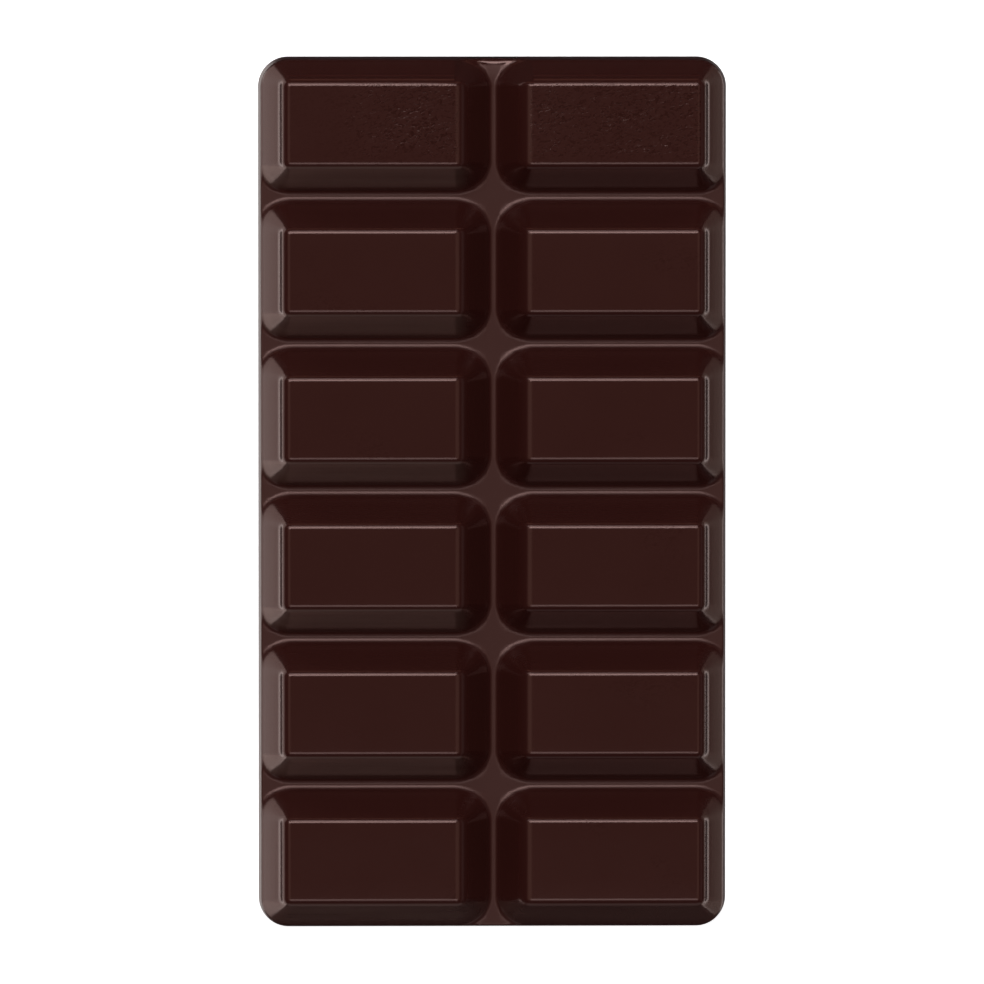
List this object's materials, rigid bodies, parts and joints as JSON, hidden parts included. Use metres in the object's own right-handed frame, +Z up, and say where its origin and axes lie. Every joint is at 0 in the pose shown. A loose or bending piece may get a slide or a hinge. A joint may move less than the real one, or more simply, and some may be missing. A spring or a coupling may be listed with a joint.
{
  "type": "mini dark chocolate bar",
  "caption": "Small moulded dark chocolate bar, a thin slab with raised flat-topped blocks in rows, split by V-shaped breaking grooves, lying on its flat back.",
  "frame": {"origin": "centre of the flat back that the bar lies on", "axes": "+X across the bar, +Y along the bar, +Z up out of the faces of the raised blocks"},
  "size_m": [0.0484, 0.09, 0.0068],
  "materials": {
    "dark_chocolate": "satin moulded dark chocolate"
  },
  "bodies": {
    "root": {"chocolate_bar": "dark_chocolate"}
  },
  "joints": []
}
